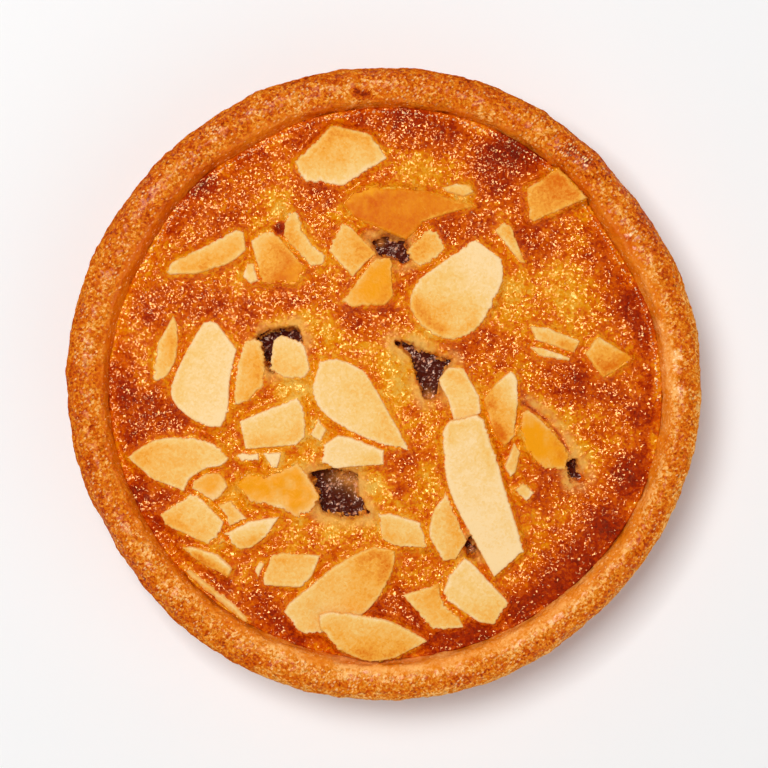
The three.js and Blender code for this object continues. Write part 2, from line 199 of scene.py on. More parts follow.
def makePiece(name, points, faces, nodes, slot, material, creased=None, **values):
    mesh = bpy.data.meshes.new(name)
    mesh.from_pydata((np.asarray(points) * mm).tolist(), [], np.asarray(faces).tolist())
    if creased is not None:  # edges between these points stay sharp
        ends = np.zeros(2 * len(mesh.edges), np.int32)
        mesh.edges.foreach_get("vertices", ends)
        sharp = mesh.attributes.new("sharp_edge", "BOOLEAN", "EDGE")
        sharp.data.foreach_set("value", creased[ends.reshape(-1, 2)].all(1))
    for label, numbers in values.items():
        layer = mesh.attributes.new(label, "FLOAT", "POINT")
        padded = np.zeros(len(points), np.float32)
        padded[:len(numbers)] = numbers
        layer.data.foreach_set("value", padded)
    mesh.polygons.foreach_set("use_smooth", [True] * len(mesh.polygons))
    mesh.materials.append(material)
    piece = bpy.data.objects.new(name, mesh)
    bpy.context.scene.collection.objects.link(piece)
    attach(piece, "root")
    if nodes:
        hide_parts(*nodes)
    print(name, "made:", len(faces), "triangles")


# shader node groups that several materials share

def feed(tree, value, node, inlet):
    tree.links.new(value, node.inputs[inlet])


def mathNode(tree, operation, first, second=None, clamp=False):
    node = tree.nodes.new("ShaderNodeMath")
    node.operation = operation
    node.use_clamp = clamp
    for place, value in enumerate((first, second)):
        if isinstance(value, (int, float)):
            node.inputs[place].default_value = value
        elif value is not None:
            feed(tree, value, node, place)
    return node.outputs[0]


def vectorNode(tree, operation, first, second=None):
    node = tree.nodes.new("ShaderNodeVectorMath")
    node.operation = operation
    feed(tree, first, node, 0)
    if isinstance(second, tuple):
        node.inputs[1].default_value = second
    elif second is not None:
        feed(tree, second, node, "Scale" if operation == "SCALE" else 1)
    return node.outputs[0]


def scaledBy(tree, value, factor, start=0.0):  # value times factor, plus start
    made = mathNode(tree, "MULTIPLY_ADD", value, factor)
    made.node.inputs[2].default_value = start
    return made


def mixColour(tree, factor, first, second):
    node = tree.nodes.new("ShaderNodeMix")
    node.data_type = "RGBA"
    for place, value in ((0, factor), (6, first), (7, second)):
        if isinstance(value, bpy.types.NodeSocket):
            feed(tree, value, node, place)
        else:
            node.inputs[place].default_value = value
    return node.outputs[2]


def noiseNode(tree, coordinates, scale, detail):
    node = tree.nodes.new("ShaderNodeTexNoise")
    node.inputs["Detail"].default_value = detail
    feed(tree, coordinates, node, "Vector")
    feed(tree, scale, node, "Scale")
    return node.outputs["Fac"]


def newGroup(name, inlets, outlets):  # name, kind and starting value of each socket
    group = bpy.data.node_groups.new(name, "ShaderNodeTree")
    for way, sockets in (("INPUT", inlets), ("OUTPUT", outlets)):
        for label, kind, *value in sockets:
            made = group.interface.new_socket(name=label, in_out=way, socket_type="NodeSocket" + kind)
            if value:
                made.default_value = value[0]
    return group, group.nodes.new("NodeGroupInput"), group.nodes.new("NodeGroupOutput")


def cellNode(tree, coordinates, scale):
    node = tree.nodes.new("ShaderNodeTexVoronoi")
    feed(tree, coordinates, node, "Vector")
    feed(tree, scale, node, "Scale")
    return node


def cellShades(tree, node):  # two shades that each cell has of its own
    split = tree.nodes.new("ShaderNodeSeparateColor")
    feed(tree, node.outputs["Color"], split, 0)
    return split.outputs[0], split.outputs[1]


def drawnOut(tree, coordinates, scale, size):  # pulls cells of that size out into short strokes
    drift = noiseNode(tree, coordinates, mathNode(tree, "MULTIPLY", scale, 0.5), 0.0).node
    aside = vectorNode(tree, "SCALE", drift.outputs["Color"], mathNode(tree, "MULTIPLY", size, 2.0))
    return vectorNode(tree, "ADD", coordinates, aside)


def makeCrumbGroup():  # soft granules with a finer grain over them, and specks in shades of their own
    inlets = [("Grain Size", "Float", 0.0006), ("Fineness", "Float", 0.5)]
    group, inlet, outlet = newGroup("bakedCrumb", inlets, [("Height", "Float"), ("Speckle", "Float")])
    place = group.nodes.new("ShaderNodeTexCoord").outputs["Object"]
    scale = mathNode(group, "DIVIDE", 1.0, inlet.outputs["Grain Size"])
    strokes = drawnOut(group, place, scale, inlet.outputs["Grain Size"])
    shade = cellShades(group, cellNode(group, strokes, scale))[0]
    granules = noiseNode(group, place, scale, 0.0)
    fine = noiseNode(group, place, mathNode(group, "MULTIPLY", scale, 2.1), 1.0)
    coarse = noiseNode(group, place, mathNode(group, "MULTIPLY", scale, 0.35), 1.0)
    fineShare = mathNode(group, "MULTIPLY", fine, inlet.outputs["Fineness"])
    height = mathNode(group, "ADD", granules, mathNode(group, "ADD", fineShare, coarse))
    mixed = mathNode(group, "ADD", scaledBy(group, shade, 0.9), mathNode(group, "ADD", fine, granules))
    feed(group, height, outlet, "Height")
    feed(group, mathNode(group, "SUBTRACT", mixed, 1.45), outlet, "Speckle")  # about 0 on average
    return group


toastStages = ("Pale", "Golden", "Amber", "Brown", "Scorched")


def makeToastGroup():  # from raw through golden to scorched, in even steps of toast from 0 to 1
    inlets = [("Toast", "Float", 0.4)] + [(name, "Color", (0.5, 0.3, 0.1, 1)) for name in toastStages]
    group, inlet, outlet = newGroup("toasting", inlets, [("Colour", "Color")])
    colour = inlet.outputs[toastStages[0]]
    for step, name in enumerate(toastStages[1:]):
        span = group.nodes.new("ShaderNodeMapRange")
        span.inputs["From Min"].default_value = step / (len(toastStages) - 1)
        span.inputs["From Max"].default_value = (step + 1) / (len(toastStages) - 1)
        feed(group, inlet.outputs["Toast"], span, "Value")
        colour = mixColour(group, span.outputs[0], colour, inlet.outputs[name])
    feed(group, colour, outlet, "Colour")
    return group


def makePaintedGlintGroup():  # painted highlights: small glints in short strokes, painted into the colour
    inlets = [("Glint Spacing", "Float", 0.0005), ("Glint Size", "Float", 0.4), ("Amount", "Float", 0.3)]
    group, inlet, outlet = newGroup("paintedSparkle", inlets, [("Mask", "Float")])
    drawn = group.nodes.new("ShaderNodeMapping")
    drawn.vector_type = "TEXTURE"
    drawn.inputs["Rotation"].default_value = (0, 0, math.radians(45))
    drawn.inputs["Scale"].default_value = (1.3, 0.75, 1.0)
    feed(group, group.nodes.new("ShaderNodeTexCoord").outputs["Object"], drawn, "Vector")
    scale = mathNode(group, "DIVIDE", 1.0, inlet.outputs["Glint Spacing"])
    cells = cellNode(group, drawn.outputs["Vector"], scale)
    chance, strength = cellShades(group, cells)
    within = mathNode(group, "SUBTRACT", inlet.outputs["Glint Size"], cells.outputs["Distance"])
    dots = mathNode(group, "MULTIPLY", within, 7.0, clamp=True)
    picked = mathNode(group, "LESS_THAN", chance, inlet.outputs["Amount"])
    lit = mathNode(group, "MULTIPLY", picked, scaledBy(group, strength, 0.7, 0.3))
    feed(group, mathNode(group, "MULTIPLY", dots, lit), outlet, "Mask")
    return group


def makeFacetGroup():  # small flat faces, each turned a little its own way, such as the faces of crumbs
    inlets = [("Facet Size", "Float", 0.0003), ("Tilt", "Float", 0.4), ("Normal", "Vector")]
    group, inlet, outlet = newGroup("facets", inlets, [("Normal", "Vector")])
    place = group.nodes.new("ShaderNodeTexCoord").outputs["Object"]
    scale = mathNode(group, "DIVIDE", 1.0, inlet.outputs["Facet Size"])
    cells = cellNode(group, drawnOut(group, place, scale, inlet.outputs["Facet Size"]), scale)
    around = vectorNode(group, "SUBTRACT", cells.outputs["Color"], (0.5, 0.5, 0.5))
    turned = vectorNode(group, "SCALE", around, inlet.outputs["Tilt"])
    facing = vectorNode(group, "NORMALIZE", vectorNode(group, "ADD", turned, inlet.outputs["Normal"]))
    feed(group, facing, outlet, "Normal")
    return group


crumbGroup = makeCrumbGroup()
toastGroup = makeToastGroup()
paintedGlintGroup = makePaintedGlintGroup()
facetGroup = makeFacetGroup()


def placeGroup(tree, group, **settings):
    node = tree.nodes.new("ShaderNodeGroup")
    node.node_tree = group
    for name, value in settings.items():
        node.inputs[name.replace("_", " ")].default_value = value
    return node


def newMaterial(name, look, **constants):
    material = bpy.data.materials.new(name)
    material.use_nodes = True
    shader = material.node_tree.nodes["Principled BSDF"]
    shader.inputs["Specular IOR Level"].default_value = look["shine"]
    shader.inputs["Specular Tint"].default_value = look["sheen"]
    for label, value in constants.items():
        shader.inputs[label.replace("_", " ")].default_value = value
    return material, material.node_tree, shader


def attributeNode(tree, name):
    node = tree.nodes.new("ShaderNodeAttribute")
    node.attribute_name = name
    return node.outputs["Fac"]


def placeCrumb(tree, look):
    return placeGroup(tree, crumbGroup, Grain_Size=look["grain"], Fineness=look["fineness"])


def placePaintedGlints(tree, look):
    return placeGroup(tree, paintedGlintGroup, Glint_Spacing=look["glintSpacing"], Glint_Size=look["glintSize"])


def toastedColour(tree, look, crumb, rough=1.0):  # by how far each place is baked, with specks
    speckle = mathNode(tree, "MULTIPLY", scaledBy(tree, crumb.outputs["Speckle"], look["speckle"]), rough)
    node = placeGroup(tree, toastGroup, **dict(zip(toastStages, look["toasting"])))
    feed(tree, mathNode(tree, "ADD", attributeNode(tree, "toast"), speckle), node, "Toast")
    return node.outputs["Colour"]


def addBump(tree, shader, height, distance, facets=None):
    bump = tree.nodes.new("ShaderNodeBump")
    bump.inputs["Distance"].default_value = distance
    feed(tree, height, bump, "Height")
    if facets:
        feed(tree, bump.outputs["Normal"], facets, "Normal")
    feed(tree, (facets or bump).outputs["Normal"], shader, "Normal")


def tone(red, green, blue):  # a colour as seen on a screen, 0 to 255
    def linear(value):
        value /= 255
        return value / 12.92 if value <= 0.04045 else ((value + 0.055) / 1.055) ** 2.4
    return (linear(red), linear(green), linear(blue), 1)


# pastry case

pastryLook = {
    "columns": 860,
    "rimSpacing": 0.32,
    "wallSpacing": 0.6,
    "rimLevel": 14.5,  # the finer mesh starts at this height
    "evenRound": 50,  # how far the facets are evened out, round the rim and across it
    "evenAcross": 14,
    "relief": [(0.22, 4.5, 3), (0.15, 1.7, 8), (0.10, 0.8, 4), (0.05, 0.4, 5)],  # height, size, seed
    "reliefSunk": 0.12,
    "slopeFrom": (47.2, 45.0),  # radii between which the rim turns down towards the cream
    "satinFrom": (45.0, 43.4),  # further in, the slope is smooth
    "outsideFrom": (46.0, 48.0),
    "sideFrom": (48.0, 49.4),
    "baked": 0.44,  # 0 is raw, 1 scorched
    "patches": [(0.08, 9, 6), (0.12, 2.5, 7)],
    "grain": 0.00042,  # in metres, like every size in a material
    "fineness": 0.4,
    "speckle": 0.55,
    "glintSpacing": 0.00046,
    "glintSize": 0.46,
    "facetSize": 0.00038,
    "facetTilt": 0.8,
    "bump": 0.0002,
    "satinSmoothness": 0.75,
    "toasting": [tone(252, 188, 108), tone(231, 136, 26), tone(214, 100, 2),  # from pale to scorched
                 tone(187, 66, 0), tone(136, 36, 0)],
    "glint": tone(255, 214, 150),
    "shine": 0.1,
    "sheen": tone(255, 225, 180),
}


def makePastryMaterial(look):
    material, tree, shader = newMaterial("bakedPastry", look, Coat_Roughness=0.2, Coat_Tint=look["sheen"])
    crumb = placeCrumb(tree, look)
    paintedSparkle = placePaintedGlints(tree, look)
    facets = placeGroup(tree, facetGroup, Facet_Size=look["facetSize"])
    gloss, satin = attributeNode(tree, "gloss"), attributeNode(tree, "satin")
    rough = scaledBy(tree, satin, -look["satinSmoothness"], 1.0)
    feed(tree, gloss, paintedSparkle, "Amount")
    feed(tree, scaledBy(tree, rough, look["facetTilt"]), facets, "Tilt")
    # painted highlights: glints mixed into the colour, more of them where the rim is glossier
    glints = mathNode(tree, "MULTIPLY", paintedSparkle.outputs["Mask"], scaledBy(tree, gloss, 0.7, 0.5))
    colour = mixColour(tree, glints, toastedColour(tree, look, crumb, rough), look["glint"])
    feed(tree, colour, shader, "Base Color")
    coat = mathNode(tree, "ADD", scaledBy(tree, gloss, 0.4), scaledBy(tree, satin, 0.3), clamp=True)
    feed(tree, coat, shader, "Coat Weight")
    dull = mathNode(tree, "MAXIMUM", scaledBy(tree, gloss, -0.6, 0.36), 0.12)
    feed(tree, dull, shader, "Roughness")
    addBump(tree, shader, mathNode(tree, "MULTIPLY", crumb.outputs["Height"], rough), look["bump"], facets)
    return material


def caseSection(tree, core, bearing, turns):  # radius and height of the surface, seen from inside the wall
    spin = Vector((math.cos(bearing), math.sin(bearing), 0))
    start = Vector((spin.x * core.x, spin.y * core.x, core.z))
    found = []
    for turn in turns:
        way = Vector((spin.x * math.cos(turn), spin.y * math.cos(turn), math.sin(turn)))
        hit = tree.ray_cast(start, way)[0]
        found.append((math.hypot(hit.x, hit.y), hit.z))
    return np.array(found)


# marks on the rim: across, up, radius, how much more toasted, how much glossier (more painted glints)
# the pale glossy marks on the right are painted highlights, and the pale marks along the inner slope at the
# top are painted light on its shade
rimMarksAndPaintedLight = [
    (-4.3, 45.4, 0.7, 0.9, 0), (-2.9, 45.1, 0.7, 0.9, 0), (28.9, 36.1, 1.2, 0.5, 1),
    (31.4, 34.7, 1.1, 0.5, 1), (-26.7, 39.5, 1.6, 0, 0.5), (-37, 31.7, 1.4, 0.05, 0.3),
    (-13, 43.7, 1.3, -0.2, 0.4), (-46.2, 5.2, 1.3, -0.05, 0.5), (38.6, 23.6, 0.9, -0.1, 1),
    (45.5, 4.5, 0.9, -0.35, 1), (45.4, -1, 0.9, -0.35, 0.9), (42.6, 9, 0.8, -0.2, 0.9),
    (43.7, 2.5, 0.7, -0.2, 0.8), (-32.2, -32.8, 1.3, -0.1, 0.4), (-36.9, -27.6, 1.3, -0.1, 0.4),
    (-14, 41.5, 2.5, -0.2, 0), (-4, 43.3, 2.5, -0.2, 0), (-20, 39, 2.2, -0.12, 0), (16, 42, 2, -0.12, 0),
    (38.5, 24, 4, 0.12, 0), (-32, 32, 2, -0.12, 0), (-17, -40.5, 5, -0.08, 0), (-6, -44, 5, -0.1, 0),
    (6, -44, 5, -0.08, 0), (-14, 45, 3, 0.08, 0), (37.5, 26.5, 2, -0.05, 0), (-43, 18, 2.5, 0.1, 0),
    (41.8, 20.8, 2, 0.12, 0), (41.2, 16.8, 1.5, -0.12, 0), (-28.7, -35.6, 2, 0.15, 0),
    (35, 34.8, 2.5, 0.18, 0), (40.5, 25.5, 1.6, 0.15, 0),
]


def pastryToast(points, look):  # how toasted, glossy and smooth the pastry is from place to place
    radius, height = np.hypot(points[:, 0], points[:, 1]), points[:, 2]
    sunny = 1 - lowerRight(points)
    shady = smoothStep(0.5, 0.1, sunny)
    inward = smoothStep(*look["slopeFrom"], radius) * smoothStep(15, 19, height)
    outer = smoothStep(*look["outsideFrom"], radius)
    around = np.column_stack([np.arctan2(points[:, 1], points[:, 0]) * 8, radius, height])
    toast = look["baked"] + layeredLumps(points, look["patches"]) + 0.10 * lumps(around, 1.0, 10)
    # the outside is more baked; the slope down to the cream is partly the paler less-baked crust, but it is
    # painted paler on the lower right, facing the lamp, and a little darker on the upper left, turned from
    # it: painted light and shade
    toast += 0.08 * outer - 0.24 * inward * (1 - sunny) + 0.04 * inward * sunny
    # painted light: the outside and the side wall on the lower right, turned from the lamp, are painted
    # lighter against their shade
    toast -= 0.04 * shady * outer
    toast -= 0.30 * shady * smoothStep(47.6, 49.4, radius) * smoothStep(8, 13, height)
    # gloss also sets the share of painted glints, so the outer rim on the lamp's side gets more painted
    # highlights
    gloss = 0.20 + 0.15 * smoothStep(0.4, 0.9, sunny) * outer + 0.15 * lumps(points, 4, 9)
    gloss -= 1.5 * smoothStep(*look["sideFrom"], radius)  # the side of the case is dull
    onTop = smoothStep(12, 15, height)
    for across, up, size, darker, shine in rimMarksAndPaintedLight:
        near = nearSpot(points, across, up, size) * onTop
        toast += darker * near
        gloss += shine * near
    slope = radius + 0.5 * lumps(points, 3, 16) - 0.9 * shady
    satin = smoothStep(*look["satinFrom"], slope) * smoothStep(13, 15, height)
    return toast, gloss, satin


def makePastry(look):
    tree = nodeTree("pastry_case")
    low, high = (Vector(corner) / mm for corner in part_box("pastry_case"))
    core = Vector((0.87 * (high.x - low.x) / 2, 0, 0.45 * high.z))  # inside the wall, half-way up
    turns = np.radians(np.linspace(-112, 150, 1500))
    section = caseSection(tree, core, 0.0, turns)
    onRim = section[1:, 1] > look["rimLevel"]
    spacing = np.where(onRim, look["rimSpacing"], look["wallSpacing"]) * coarser
    steps = np.linalg.norm(np.diff(section, axis=0), axis=1) / spacing
    run = np.concatenate([[0], np.cumsum(steps)])
    picks = np.interp(np.linspace(0, run[-1], int(run[-1])), run, turns)
    columns, rows = look["columns"] // coarser, len(picks)
    bearings = np.arange(columns) * 2 * math.pi / columns
    grid = np.array([caseSection(tree, core, bearing, picks) for bearing in bearings])
    for _ in range(look["evenRound"] // coarser ** 2):
        grid = 0.5 * grid + 0.25 * (np.roll(grid, 1, 0) + np.roll(grid, -1, 0))
    for _ in range(look["evenAcross"] // coarser ** 2):
        grid[:, 1:-1] = 0.5 * grid[:, 1:-1] + 0.25 * (grid[:, 2:] + grid[:, :-2])
    ways = np.stack([np.cos(bearings), np.sin(bearings)], 1)
    points = np.concatenate([grid[..., :1] * ways[:, None], grid[..., 1:]], axis=2)
    outwards = np.cross(np.roll(points, -1, 0) - np.roll(points, 1, 0), np.gradient(points, axis=1))
    outwards /= np.linalg.norm(outwards, axis=2)[..., None]
    flat = points.reshape(-1, 3)
    lift = layeredLumps(flat, look["relief"]) - look["reliefSunk"]
    standing = smoothStep(0.0, 0.8, flat[:, 2])  # the underside stays flat
    flat = flat + (lift * standing)[:, None] * outwards.reshape(-1, 3)

    index = np.arange(columns * rows).reshape(columns, rows)
    after = np.roll(index, -1, 0)
    faces = np.concatenate([np.stack([index[:, :-1], after[:, :-1], after[:, 1:]], 2).reshape(-1, 3),
                            np.stack([index[:, :-1], after[:, 1:], index[:, 1:]], 2).reshape(-1, 3)])
    points, faces = closeEdge(flat, faces, index[:, 0], ways, [(0.5 * core.x, 0.0)])
    floorLevel = tree.ray_cast(Vector((0, 0, high.z)), Vector((0, 0, -1)))[0].z
    floorEdge = tree.ray_cast(Vector((0, 0, floorLevel + 0.4)), Vector((1, 0, 0)))[0].x
    insideFloor = [(floorEdge, floorLevel), (0.5 * floorEdge, floorLevel)]
    points, faces = closeEdge(points, faces, index[:, -1], ways, insideFloor, upward=True)
    toast, gloss, satin = pastryToast(points, look)
    makePiece("pastryCrust", points, faces, ["pastry_case"], "pastry", makePastryMaterial(look),
              toast=toast, gloss=gloss, satin=satin)


# almond cream

creamLook = {
    "spacing": 0.26,
    "intoPastry": 0.7,  # past the joint, so that no gap shows
    "evenOut": 60,
    "relief": [(0.26, 3.2, 13), (0.12, 1.1, 14), (0.05, 0.6, 15)],  # height, size, seed
    "climb": 0.35,  # how far the cream stands up the edge of a flake
    "fillet": 1.0,  # and how far out from the edge it starts to rise
    "splitLip": 0.12,
    "splitBottom": 0.22,
    "splitDeep": 1.8,  # below the cream's underside, so that the fruit shows
    "crackDepth": 0.8,
    "crackWidth": 0.24,
    "tornWidth": 0.8,
    "baked": 0.46,  # 0 is raw, 1 scorched
    "contrast": 1.35,  # of the toasting, about its middle
    "middle": 0.48,
    "patches": [(0.11, 3.5, 17), (0.12, 1.3, 18), (0.07, 0.7, 19)],
    "grain": 0.0005,
    "fineness": 0.1,
    "speckle": 0.26,
    "facetSize": 0.00033,
    "facetTilt": 0.5,
    "bump": 0.00016,
    "toasting": [tone(234, 178, 72), tone(232, 144, 0), tone(214, 88, 0),
                 tone(166, 38, 0), tone(118, 20, 8)],
    "crumbWall": tone(226, 162, 76),
    "glint": tone(255, 232, 190),
    "shine": 0.76,
    "sheen": tone(255, 216, 142),
}

# flakes that the cream has run over: the bearing of the buried side and how far over the cream reaches
buriedSides = {2: (110, 0.9), 3: (60, 0.6), 11: (-50, 1.4), 30: (130, 0.8), 42: (200, 0.8), 47: (-20, 0.8)}

# a crack beside a sunk flake, and which way the torn crumb beyond it lies
crackLine = np.array([(21.8, -3.0), (23.9, -4.3), (25.6, -5.8), (27.2, -7.6), (28.2, -9.3), (29.2, -11.0)])
crackSide = np.array([0.75, 0.66])

# how far the cream is toasted from place to place: across, up, radius, toast
toastSpots = {
    "golden": [
        (-12, 10, 3, 0.32), (-7, 8, 2.5, 0.3), (-3, 6, 2.5, 0.42), (2, 3, 3, 0.2), (3.5, -1, 2.5, 0.32),
        (6, -5, 2.5, 0.38), (7, -9.5, 2.5, 0.42), (6, -13.5, 2.2, 0.36), (5.5, 6.5, 2.5, 0.16),
        (-2, -16, 2, 0.12), (-4, -14, 1.5, 0.25), (-8, -22.3, 2.6, 0.3), (-3, -21.5, 2.5, 0.3),
        (-13, -23, 2.5, 0.35), (-12.5, -13, 1.8, 0.3), (4, 34.5, 3, 0.33), (10, 34, 3, 0.42),
        (14, 32.5, 2.2, 0.46), (2, 36.5, 1.8, 0.36), (-17.5, 28.5, 2.4, 0.38), (-22, 31, 3, 0.55),
        (-25, 26, 3, 0.56), (-36, 21, 3, 0.45), (-38.5, 8.5, 2.6, 0.42), (21, 14, 3.2, 0.26),
        (25, 12.5, 2.5, 0.55), (28.5, 17, 2.6, 0.3), (18.5, 9.5, 2.2, 0.34), (25.5, -2.5, 2, 0.25),
        (28.5, -6.5, 2, 0.25), (31, -10.5, 2.2, 0.2), (33, -7, 2.5, 0.56), (8, -15.5, 2, 0.34),
        (23, -24, 2.5, 0.42), (-25, -8.5, 2.2, 0.42), (-22, -11.5, 1.8, 0.4), (4, -20, 2, 0.42),
        (-13, -1, 3.5, 0.18), (-11, -8, 2.5, 0.18), (-17, -12, 2.5, 0.25), (-24, -17, 2.5, 0.3),
        (-28, -19, 2, 0.35), (6, 33, 3, 0.32), (1, -18, 2.2, 0.25), (5, -8, 3, 0.4), (-13, 24, 2, 0.35),
        (28, 14, 3.5, 0.28), (30, 9, 2.5, 0.35), (24, 9.5, 2, 0.4), (-3, 15, 2.5, 0.4),
        (22, -8, 1.5, 0.3), (19, -2, 1.5, 0.3), (14, -31, 2, 0.45), (31, -16, 2, 0.5),
        (-10, 19.5, 2, 0.35), (-16, 9.5, 2, 0.2), (1.5, -0.5, 2, 0.2), (12, 29.5, 1.6, 0.2),
        (-16.8, 28, 1.2, 0.22), (-15.4, 26.6, 1, 0.25),
    ],
    "browned": [
        (-12, 40, 3, 0.64), (-20.5, 35.5, 3, 0.6), (-11, 30, 2.6, 0.64), (-33, 24.3, 1.6, 0.7),
        (-36.5, 12, 3, 0.62), (-31, 12.5, 2.8, 0.64), (-33, -5, 2.5, 0.72), (-27, 12.5, 2.8, 0.62),
        (-21.5, 11.5, 2.6, 0.62), (-16, 13, 2.6, 0.6), (-11, 15.3, 2.4, 0.52), (-5, 11, 2.6, 0.64),
        (0, 11.3, 2.4, 0.62), (-2.5, 9, 1.8, 0.55), (10, 25, 2.6, 0.66), (14.5, 25.3, 2.4, 0.62),
        (23, 23, 3, 0.68), (33, 22, 3, 0.56), (36, 17, 2.6, 0.6), (38.5, 12.5, 3, 0.76),
        (40.5, 8, 2.6, 0.72), (13.5, 6, 2.6, 0.6), (17, 6, 2.4, 0.58), (30, 0.5, 3.2, 0.7),
        (26.5, 2.5, 2.4, 0.6), (40, -4, 2.8, 0.74), (26, -14, 2.4, 0.64), (3, -12, 2.2, 0.62),
        (2, -16.5, 1.8, 0.55), (34, -21, 3, 0.7), (30, -26, 3, 0.7), (26, -29.5, 2.8, 0.66),
        (-37, -4, 3.2, 0.72), (-39, -17, 2.6, 0.78), (-36, -22, 2.4, 0.66), (-20, -33.5, 3, 0.6),
        (-26, -32, 2.4, 0.66), (-1, -35.5, 2.6, 0.7), (2.5, -34, 2.2, 0.66), (10, 39, 3.2, 0.64),
        (-3, 41, 2.6, 0.66), (18, 32, 2.8, 0.72), (20, 28, 2, 0.6), (27, 23.5, 2.2, 0.62),
        (-34, -18, 2, 0.6), (4.5, -36.5, 2, 0.72), (27, -1, 2, 0.6), (15, 35, 2.5, 0.66),
        (36, -1.5, 2.2, 0.66), (-31.7, 27.5, 2, 0.66), (-39.5, -7.5, 2.2, 0.72), (-42.3, 2, 1.5, 0.75),
        (18, 35.4, 2, 0.85), (24.6, -18, 2, 0.62),
    ],
    "scorched": [
        (4, 41.5, 4, 0.76), (19.8, 36.6, 3.2, 1), (24, 36, 2, 0.9), (-28.5, 31, 2.2, 0.95),
        (-41, -1.5, 2.2, 0.8), (38.5, -14.5, 3.4, 0.83), (36.5, -23.5, 3, 0.84), (33, -28.5, 3, 0.84),
        (28, -32.5, 3, 0.84), (22, -36, 3, 0.82), (14.5, -40, 3.2, 0.82), (9, -41.3, 2.6, 0.84),
        # the last spot on the next line is a small pit painted dark instead of modelled: painted shade, not
        # scorching
        (-17.5, -37.3, 3, 0.68), (-13.5, -40, 2.6, 0.7), (-16.2, 24.3, 0.9, 1.1),
    ],
}


def makeCreamMaterial(look):
    material, tree, shader = newMaterial("bakedCream", look)
    crumb = placeCrumb(tree, look)
    facets = placeGroup(tree, facetGroup, Facet_Size=look["facetSize"], Tilt=look["facetTilt"])
    gloss, wall = attributeNode(tree, "gloss"), attributeNode(tree, "wall")
    colour = mixColour(tree, wall, toastedColour(tree, look, crumb), look["crumbWall"])
    # painted highlights: grains that carry a glint are painted towards the glint colour
    colour = mixColour(tree, attributeNode(tree, "glint"), colour, look["glint"])
    feed(tree, colour, shader, "Base Color")
    dull = mathNode(tree, "SUBTRACT", scaledBy(tree, wall, 0.4, 0.21), scaledBy(tree, gloss, 0.3))
    feed(tree, mathNode(tree, "MAXIMUM", dull, 0.08), shader, "Roughness")
    uneven = scaledBy(tree, crumb.outputs["Height"], 1.0, -1.2)
    uneven = mathNode(tree, "MULTIPLY", uneven, scaledBy(tree, gloss, 1.2, 0.6))
    addBump(tree, shader, uneven, look["bump"], facets)
    return material


def splitDepth(flat, edges, inSplit):  # how far inside a split a point is, less than nothing outside
    border = np.unique(edges[inSplit[edges[:, 0]] != inSplit[edges[:, 1]]])
    away = nearest(flat, flat[border])[0]
    ragged = 0.12 + 0.15 * lumps(flat, 1.6, 11) + 0.08 * lumps(flat, 0.7, 12)
    return np.where(inSplit, away, -away) + ragged


# places on the cream that glisten most: across, up, radius, share that glints
glossyPlaces = [
    (-36, 14, 4, 0.7), (-27, 14, 3, 0.6), (-31, 21, 4, 0.45), (-38, -4, 5, 0.7), (-25, 27, 5, 0.5),
    (-20, 34, 4, 0.5), (2, 41, 4, 0.5), (9, 39, 4, 0.5), (17, 34, 4, 0.55), (22, 36, 1.8, 0.8),
    (32, 23, 4, 0.5), (36, 14, 3.5, 0.45), (33, -9, 3, 0.6), (29, -18, 3, 0.75), (25, -26, 3.5, 0.6),
    (23, -12, 2, 0.5), (22, 2, 3, 0.5), (29, 0, 3, 0.5), (6, 3, 3, 0.45), (-18, -33, 3, 0.5),
    (-10, 14, 2.5, 0.45), (7, 24, 3, 0.45), (-33, -24, 2, 0.5), (-34, -13, 2, 0.5), (3, -33, 3, 0.4),
]


def creamGloss(flat):
    gloss = 0.22 + 0.22 * lumps(flat, 5, 23) + 0.2 * lumps(flat, 1.8, 24)
    for across, up, size, share in glossyPlaces:
        gloss += (share - gloss) * nearSpot(flat, across, up, size)
    return gloss


def creamToast(flat, toRim, relief, look):
    # painted shade: on the lower right the cream darkens towards the joint with the pastry, and its last
    # millimetre there is painted lighter against the shadow in the joint
    edge = 0.15 * smoothStep(5, 1, toRim) - 0.16 * smoothStep(1.9, 1.0, toRim)
    toast = look["baked"] + 0.10 * relief + lowerRight(flat) * edge
    for across, up, size, level in itertools.chain(*toastSpots.values()):
        toast += (level - toast) * nearSpot(flat, across, up, size)
    toast = look["middle"] + look["contrast"] * (toast - look["middle"])
    toast -= 0.5 * np.maximum(toast - 0.75, 0)  # nothing is burnt black
    return toast + layeredLumps(flat, look["patches"]) * (1 - 0.5 * smoothStep(0.6, 0.9, toast))


def outerRadius(tree, middle, bearings):  # how far out a solid reaches by bearing, at half its height
    around = np.radians(np.arange(0, 360, 2))
    reach = []
    for turn in around:
        way = Vector((math.cos(turn), math.sin(turn), 0))
        reach.append((tree.ray_cast(Vector(middle) + way * 90, -way)[0] - Vector(middle)).length)
    return np.interp(bearings, around, reach, period=2 * math.pi)


